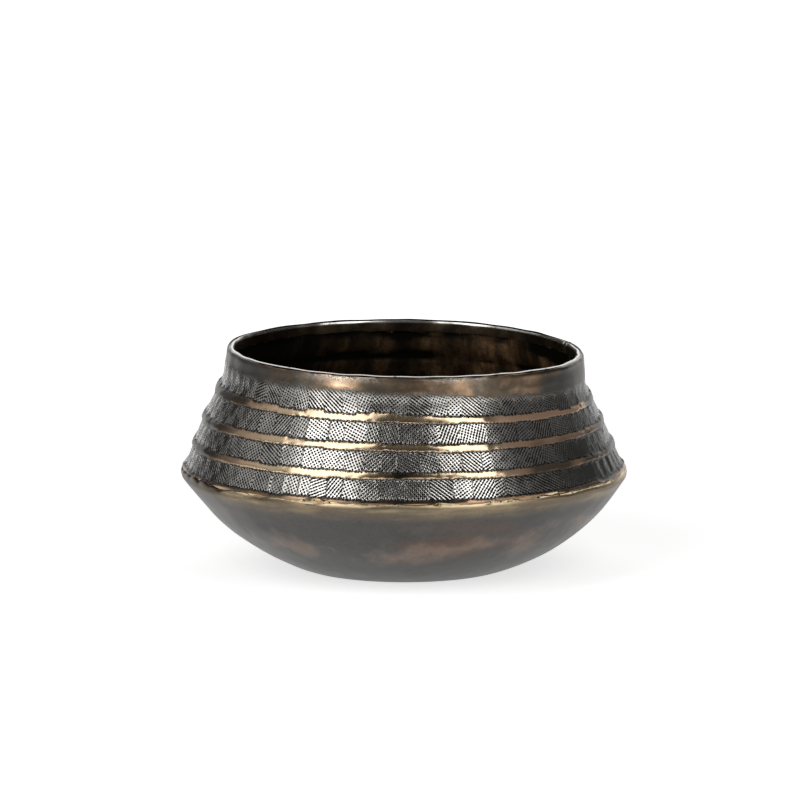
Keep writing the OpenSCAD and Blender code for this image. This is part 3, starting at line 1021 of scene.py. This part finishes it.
    def faint(self, s, angle, z, hatching, found):
        """Where the hatching is rubbed nearly flat."""
        deg = np.degrees(from_front(angle))
        level, top = hatching.nominal(angle, z), hatching.top
        share = (level - hatching.foot) / (top - hatching.foot)
        right = bump(deg, 62, 12) * (0.5 + 0.5 * np.cos(FULL_TURN * (share - 0.2)))
        cloud = smooth(0.7, 1.8, uneven(angle, z, 0.05, s.seed + 10)) * smooth(50, 75, np.abs(deg))
        fluted = window(deg, 62, 66, 86, 92) * (share < 0.22)
        fading = smooth(top - 3 * MM, top + MM, level) * smooth(75, 50, np.abs(deg))
        flat_blow = window(deg, 70, 71, 80, 82) * smooth(0.76, 0.8, share)
        light = 0.25 * (1 - found["force"])
        return np.clip(0.85 * right + 0.3 * cloud + light + 0.6 * fluted + 0.5 * fading + flat_blow, 0, 1)

    def lay_marks(self, piece, hatching, angles, order, heights, radii, outer):
        """Lays the hatching's coordinates into the frame of each blow, and unrolls the wall for its
        pictures."""
        lean = 1.07     # one blow is a little higher along the leaning wall than it is upright
        mesh = piece.data
        count = len(mesh.loops)
        quads = read(mesh.polygons, "loop_total") == 4
        corner = read(mesh.polygons, "loop_start")[quads][:, None] + np.arange(4)
        v = read(mesh.loops, "vertex_index")[corner]
        ring, row = v // len(order), order[v % len(order)]
        z, angle = heights[row], angles[ring]
        middle_z, middle_angle = z.mean(1), angle.mean(1)
        found = hatching.blow(ring.min(1), middle_angle, middle_z)
        step = angles[1] - angles[0]
        level = hatching.nominal(angle, z)
        centre = hatching.nominal(middle_angle, middle_z) - found["up"]
        across = (ring - found["middle"][:, None]) * step * radii[row]
        up = (level - centre[:, None]) * lean
        marks = np.zeros((count, 2), np.float32)
        marks[corner] = np.stack([across, up], 2)
        mesh.uv_layers.new(name="Marks").data.foreach_set("uv", marks.reshape(-1))
        kept = mesh.attributes.new("mark_form", "FLOAT_VECTOR", "FACE")
        forms = np.zeros((len(mesh.polygons), 3), np.float32)
        forms[quads] = np.stack([found["half"] * step * radii[row].mean(1) + found["lap"] - 0.4 * MM,
                                 found["half_up"] * lean, found["turn"]], 1)
        kept.data.foreach_set("vector", forms.reshape(-1))
        mesh.uv_layers.new(name="OFBake").data.foreach_set(
            "uv", self.unroll(count, corner, ring, row, outer, len(angles), len(radii)).reshape(-1))
        mesh.update()

    def unroll(self, count, corner, ring, row, outer, rings, rows):
        """The outside in three strips one above the other, and the inside small beneath them."""
        strips, margin = 3, 0.006
        share = ring.min(1) / (rings - 1)
        strip = np.minimum((share * strips).astype(int), strips - 1)
        along = ring / (rings - 1) * strips - strip[:, None]
        out_high = 0.285
        out_up = row / (outer + 1)
        is_out = (row.max(1) <= outer + 1)[:, None]
        in_up = (row - outer - 1) / (rows - outer - 1)
        in_high = (1 - strips * (out_high + margin)) / strips - margin
        base = strip[:, None] * (out_high + margin) + margin / 2
        low = strips * (out_high + margin) + strip[:, None] * (in_high + margin)
        v = np.where(is_out, base + out_up * out_high, low + in_up * in_high)
        u = margin + along * (1 - 2 * margin)
        flat = np.zeros((count, 2), np.float32)
        flat[corner] = np.stack([u, v], 2)
        return flat


class BOWL_OT_rim_band(bpy.types.Operator):
    """Bend the flat band inside the mouth"""

    bl_idname = "bowl.rim_band"
    bl_label = "Rim band"

    def execute(self, context):
        s, c = context.scene.bowl_sizes, context.scene.bowl_colours
        inner = s.collar_radius - s.band_thickness
        top = [(s.collar_radius - 0.02 * MM, s.band_foot + (s.rim_height - s.band_foot - MM) * k / 6)
               for k in range(7)]
        top += [(inner + out * MM, s.rim_height + up * MM) for out, up in
                ((3.35, -1.0), (2.9, -1.04), (2.55, -0.82), (2.3, -0.44), (1.85, -0.29), (1.3, -0.13),
                 (0.85, 0), (0.68, -0.1), (0.55, -0.4), (0.44, -0.72), (0.36, -0.95), (0.29, -1.15),
                 (0.19, -1.45), (0.08, -1.9), (0.03, -2.3), (0, -2.7))]
        turn = 2.7 * MM
        straight = s.rim_height - turn - s.band_foot
        top += [(inner, s.rim_height - turn - straight * k / 5) for k in range(1, 6)]
        top += [(s.collar_radius - s.band_thickness / 2, s.band_foot)]
        gap = s.seam_width / s.collar_radius
        piece, angles, order = lathe("rim_strip", top, 640, FULL_TURN - gap, s.seam_angle + gap / 2)
        # The rings stand closer together near the band's ends, where the grooves are narrow.
        ring = np.arange(len(angles))
        from_end = np.minimum(ring, ring[::-1])
        crowd = 0.6 * from_end * np.exp(-from_end / 12) * (angles[1] - angles[0])
        angles = angles + np.where(ring < len(ring) / 2, -crowd, crowd)
        r, z = grid(top, angles)
        seen = smooth(s.collar_radius - 0.4 * MM, s.collar_radius - 1.5 * MM, r)
        r = r + seen * 0.12 * MM * uneven(angles[:, None], z, 0.02, s.seed + 12)
        crest = 0.12 * MM * smooth(s.rim_height - 2 * MM, s.rim_height, z) * seen
        z = z + crest * uneven_ring(angles, 0.03, s.seed + 13)
        foot = 0.25 * MM * smooth(s.band_foot + 1.5 * MM, s.band_foot, z)
        z = z + foot * uneven_ring(angles, 0.025, s.seed + 14)
        from_joint = ((angles - s.seam_angle + math.pi) % FULL_TURN - math.pi)[:, None]
        groove = bump(np.abs(from_joint) * s.collar_radius / MM, 2.5, 0.8)
        z = z - 1.2 * MM * groove * (z > s.rim_height - 1.3 * MM)
        r = r + 0.6 * MM * groove * seen * (z > s.band_foot + MM)
        shape(s, piece, angles, order, r, z)
        places = np.array(top)
        # The inner edge is painted pale as a highlight, on its top at the front and on its inner face at
        # the back. Outside of it the lip is black, except at its left and right, where it is painted pale
        # as a reflection: a painted shade in the crevice against the wall, and at the back over the whole
        # top a painted dark reflection. The joint's groove is black too.
        back = smooth(0.2, 0.5, np.sin(angles))[:, None]
        ends = smooth(0.6, 0.35, np.abs(np.sin(angles)))[:, None]
        below = (s.rim_height - places[:, 1]) / MM
        across = (places[:, 0] - inner) / MM
        crown = smooth(1.7, 1.25, below)
        front_highlight = smooth(2.2, 1.9, across) * smooth(1.6, 0.7, below)
        back_highlight = window(below, 1.0, 1.15, 1.9, 2.5) * (across < 0.6)
        worn_and_lit = front_highlight * (1 - back) + back_highlight * back
        worn_and_lit = np.maximum(worn_and_lit, 0.55 * ends * crown)
        black = np.maximum(smooth(2.0, 2.25, across), back * smooth(1.15, 1.0, below))
        black = np.maximum(black * crown * (1 - ends), smooth(0.3, 0.7, groove))
        note(piece, "worn_and_lit", order, worn_and_lit)
        note(piece, "black", order, black)
        close_up(piece)
        place(piece, "rim_band", "rim_copper", rim_metal(c))
        return {"FINISHED"}


class BOWL_OT_brazing(bpy.types.Operator):
    """Run the brass along the four joints"""

    bl_idname = "bowl.brazing"
    bl_label = "Brazing"

    def execute(self, context):
        s, c = context.scene.bowl_sizes, context.scene.bowl_colours
        self.shoulder(s, c)
        self.under_band(s, c)
        self.wall_seam(s, c)
        self.band_joint(s, c)
        return {"FINISHED"}

    def shoulder(self, s, c):
        """A bead that lies on the pan's lip and climbs the wall, thick here and thin there."""
        foot = s.shoulder_radius - s.sheet
        low, high = s.shoulder_height, s.bead_height
        outline = [(foot + out * MM, low - down * MM) for out, down in ((0, 0.7), (0.25, 0.7), (0.46, 0.4))]
        outline += [(foot + 0.5 * MM * math.cos(t) ** 0.8, low + (high - low) * math.sin(t))
                    for t in np.radians([2, 24, 46, 66, 84])]
        outline += [(foot - 0.25 * MM, high)]
        piece, angles, order = lathe("shoulder_bead", outline, 760)
        r, z = grid(outline, angles)
        deg = np.degrees(from_front(angles))[:, None]
        full = smooth(-1.2, 0.6, uneven_ring(angles, 0.03, s.seed + 20))
        full = np.maximum(full, bump(deg, -23, 7))
        lump = 0.3 * MM * uneven_ring(angles, 0.012, s.seed + 21)
        blob = 1.5 * MM * bump(deg, -24, 4.5)
        up = smooth(low, high, z)
        ragged, _ = lip_edge(s, angles)
        z = z + (1 - 0.7 * up) * ragged
        z = z - up * (1 - full) * 0.9 * (high - low) + up * (lump + blob)
        swollen = smooth(foot + 0.1 * MM, foot + 0.5 * MM, r)
        r = r + swollen * (0.25 * lump + 0.2 * blob - 0.2 * MM * (1 - full))
        shape(s, piece, angles, order, r, z)
        # Black is painted in the corner on the wall and in two short slits, as painted shade, and all over
        # the left.
        black = np.tile([0.0, 0, 0, 0, 0.1, 0.25, 0.45, 0.7, 0.9], (len(angles), 1))
        black = np.maximum(black, 0.9 * window(deg, -98, -86, -54, -46))
        black = black * (1 - 0.9 * bump(deg, -23, 5))
        cracks = (bump(deg, -25, 1.3) + bump(deg, 22, 0.8)) * bump(np.arange(len(outline)), 5, 1.0)
        note(piece, "black", order, np.clip(black + cracks, 0, 1))
        close_up(piece)
        place(piece, "shoulder_braze", "braze", brass_metal(c))

    def under_band(self, s, c):
        """Specks and short runs of brass in the corner under the rim band."""
        leg = s.band_foot - s.fillet_foot
        touching = s.band_foot + 0.05 * MM
        outline = [(s.collar_radius, touching), (s.collar_radius - leg, touching)]
        outline += [(s.collar_radius - leg * (1 - math.sin(t)), s.band_foot - leg * (1 - math.cos(t)))
                    for t in np.radians([20, 40, 60])]
        outline += [(s.collar_radius, s.fillet_foot)]
        piece, angles, order = lathe("rim_bead", outline, 640)
        r, z = grid(outline, angles)
        run = smooth(-0.6, 0.9, uneven_ring(angles, 0.018, s.seed + 23))
        r = s.collar_radius - (s.collar_radius - r) * (0.35 + 0.65 * run)
        z = s.band_foot - (s.band_foot - z) * (0.3 + 0.7 * run)
        shape(s, piece, angles, order, r, z)
        note(piece, "black", order, 0.9 * (1 - run))
        close_up(piece)
        place(piece, "rim_braze", "braze", brass_metal(c))

    def wall_seam(self, s, c):
        """The strip of brass that fills the gap between the wall's ends."""
        form = WallForm(s)
        z_out = np.linspace(s.skirt_height, s.rim_height - 0.3 * MM, 90)
        z_in = np.linspace(s.rim_height, s.skirt_height, 60)
        radii = np.concatenate([form.outer(z_out), form.inner(z_in)])
        heights = np.concatenate([z_out, z_in])
        gap = s.seam_width / s.collar_radius * 0.9
        outline = list(zip(radii, heights))
        piece, angles, order = lathe("wall_seam_fill", outline, 8, gap, s.seam_angle - gap / 2)
        r, z = grid(outline, angles)
        outside = np.arange(len(radii)) < len(z_out)
        share = np.linspace(-1, 1, len(angles))[:, None]
        lump = 0.12 * MM * uneven(angles[:, None] * 6, z, 0.012, s.seed + 24)
        above = smooth(form.foot + MM, form.foot + 4 * MM, z)
        sunk = 0.3 * MM * (np.abs(share) > 0.9) + 0.25 * MM
        r = r - np.where(outside, (sunk - lump) * above, -0.1 * MM * above)
        shape(s, piece, angles, order, r, z)
        note(piece, "black", order, np.broadcast_to(smooth(0.55, 0.95, np.abs(share)), r.shape))
        close_up(piece)
        place(piece, "wall_seam_braze", "braze", brass_metal(c))

    def band_joint(self, s, c):
        """The sliver of brass between the ends of the rim band."""
        inner = s.collar_radius - s.band_thickness
        turn = 2.0 * MM
        outline = [(s.collar_radius, s.band_foot + (s.rim_height - MM - s.band_foot) * k / 8)
                   for k in range(9)]
        outline += [(inner + out * MM, s.rim_height + up * MM) for out, up in
                    ((2.9, -0.5), (2.0, -0.3), (1.1, 0.0), (0.75, -0.2), (0.3, -1.1), (0.05, -2.0))]
        straight = s.rim_height - turn - s.band_foot
        outline += [(inner, s.rim_height - turn - straight * k / 8) for k in range(1, 9)]
        gap = s.seam_width / s.collar_radius
        piece, angles, order = lathe("rim_joint_fill", outline, 8, gap, s.seam_angle - gap / 2)
        r, z = grid(outline, angles)
        share = np.abs(np.linspace(-1, 1, len(angles)))[:, None]
        sunk = 0.7 * MM * smooth(0.7, 0.95, share)
        r = r + np.where(r < s.collar_radius - MM, sunk, 0)
        z = z - np.where(z > s.rim_height - MM, sunk, 0)
        shape(s, piece, angles, order, r, z)
        note(piece, "black", order, np.broadcast_to(smooth(0.6, 0.9, share), r.shape))
        close_up(piece)
        place(piece, "rim_butt_braze", "braze", brass_metal(c))


class BOWL_OT_stage(bpy.types.Operator):
    """Set the floor, the studio light and the camera"""

    bl_idname = "bowl.stage"
    bl_label = "Stage"

    def execute(self, context):
        studio = context.scene.bowl_studio
        self.floor()
        self.sky(studio)
        self.softbox("left_softbox", -44, (1.2, 2.0), studio.left_box)
        self.softbox("right_softbox", 41, (1.0, 2.0), studio.right_box)
        self.softbox("side_softbox", -86, (1.2, 1.6), studio.side_box)
        self.camera(context.scene, studio)
        context.scene.view_settings.view_transform = "Standard"
        return {"FINISHED"}

    def floor(self):
        """A white floor that keeps the bowl's shadow and fades into the white around it."""
        bpy.ops.object.select_all(action="DESELECT")
        bpy.ops.mesh.primitive_circle_add(vertices=96, radius=8.0, fill_type="NGON", location=(0, 0, 0))
        floor = bpy.context.object
        floor.name = "floor"
        material, tree = new_material("White floor")
        shader = tree.nodes["Principled BSDF"]
        shader.inputs["Base Color"].default_value = (0.86, 0.86, 0.86, 1)
        shader.inputs["Roughness"].default_value = 0.9
        shader.inputs["Specular IOR Level"].default_value = 0.0
        floor.data.materials.append(material)
        path = node(tree, "LightPath").outputs
        seen = calc(tree, "MAXIMUM", path["Is Camera Ray"],
                    calc(tree, "MAXIMUM", path["Is Glossy Ray"], path["Is Transmission Ray"]))
        spot = node(tree, "SeparateXYZ", node(tree, "TexCoord").outputs["Object"]).outputs
        squares = [calc(tree, "POWER", spot[axis], 2.0) for axis in (0, 1)]
        far = calc(tree, "SQRT", calc(tree, "ADD", *squares))
        lift = line(tree, ramp(tree, far, 0.3, 1.6), 0.45, 0.55)
        lift = line(tree, path["Is Camera Ray"], 0.12, lift)
        tree.links.new(times(tree, seen, lift), shader.inputs["Emission Strength"])
        shader.inputs["Emission Color"].default_value = (1, 1, 1, 1)

    def sky(self, studio):
        """A white wall behind the bowl and a grey room in front of it. The camera sees white all round."""
        world = bpy.data.worlds.new("Studio")
        bpy.context.scene.world = world
        world.use_nodes = True
        tree = world.node_tree
        way = node(tree, "SeparateXYZ", node(tree, "TexCoord").outputs["Generated"]).outputs
        turn = calc(tree, "ARCTAN2", way[0], way[1])
        side = calc(tree, "MAXIMUM", turn, line(tree, turn, -1.0, math.radians(9)))
        rise = calc(tree, "ARCSINE", way[2])
        wall = times(tree, ramp(tree, side, math.radians(48), math.radians(32)),
                     ramp(tree, rise, math.radians(72), math.radians(50)))
        strength = calc(tree, "ADD", studio.room, times(tree, wall, 1.0 - studio.room))
        path = node(tree, "LightPath").outputs
        seen = calc(tree, "MAXIMUM", path["Is Camera Ray"], path["Is Transmission Ray"])
        strength = calc(tree, "MAXIMUM", strength, seen)
        tree.links.new(strength, tree.nodes["Background"].inputs["Strength"])
        tree.nodes["Background"].inputs["Color"].default_value = (1, 1, 1, 1)

    def softbox(self, name, aside, size, radiance):
        """An area lamp two metres from the bowl that faces it. aside is its direction from the front, in
        degrees, positive to the right."""
        reach, rise, aside = 2.0, math.radians(31), math.radians(aside)
        light = bpy.data.lights.new(name, "AREA")
        light.shape, light.size, light.size_y = "RECTANGLE", *size
        light.energy = radiance * math.pi * light.size * light.size_y
        lamp = bpy.data.objects.new(name, light)
        bpy.context.scene.collection.objects.link(lamp)
        way = Vector((math.sin(aside) * math.cos(rise), -math.cos(aside) * math.cos(rise), math.sin(rise)))
        lamp.location = way * reach + Vector((0, 0, 0.1))
        lamp.rotation_euler = (-way).to_track_quat("-Z", "Y").to_euler()
        lamp.visible_camera = False

    def camera(self, scene, studio):
        """A camera with a long lens, so that the picture is nearly without perspective."""
        data = bpy.data.cameras.new("camera")
        data.lens = data.sensor_width * studio.distance / studio.view_width
        data.clip_end = 100
        camera = bpy.data.objects.new("camera", data)
        scene.collection.objects.link(camera)
        back = Vector((0, -math.cos(studio.elevation), math.sin(studio.elevation)))
        camera.location = Vector((studio.aside, 0, studio.aim_height)) + back * studio.distance
        camera.rotation_euler = (-back).to_track_quat("-Z", "Y").to_euler()
        scene.camera = camera


PIECES = (BOWL_OT_pan, BOWL_OT_wall, BOWL_OT_rim_band, BOWL_OT_brazing, BOWL_OT_stage)


class BOWL_PT_panel(bpy.types.Panel):
    """Lists the bowl's sizes, colours and pieces"""

    bl_idname = "BOWL_PT_panel"
    bl_label = "Hammered Copper Bowl"
    bl_space_type = "VIEW_3D"
    bl_region_type = "UI"
    bl_category = "Bowl"

    def draw(self, context):
        for holder in (context.scene.bowl_sizes, context.scene.bowl_colours, context.scene.bowl_studio):
            box = self.layout.box()
            for key in holder.__annotations__:
                box.prop(holder, key)
        for piece in PIECES:
            self.layout.operator(piece.bl_idname)


HOLDERS = {"bowl_sizes": BowlSizes, "bowl_colours": BowlColours, "bowl_studio": BowlStudio}


def register():
    for kind in (*HOLDERS.values(), *PIECES, BOWL_PT_panel):
        bpy.utils.register_class(kind)
    for key, kind in HOLDERS.items():
        setattr(bpy.types.Scene, key, PointerProperty(type=kind))


def unregister():
    for key in HOLDERS:
        delattr(bpy.types.Scene, key)
    for kind in (BOWL_PT_panel, *reversed(PIECES), *reversed(HOLDERS.values())):
        bpy.utils.unregister_class(kind)


def main():
    register()
    bpy.ops.bowl.pan()
    bpy.ops.bowl.wall()
    bpy.ops.bowl.rim_band()
    bpy.ops.bowl.brazing()
    bpy.ops.bowl.stage()


if __name__ == "__main__":
    main()
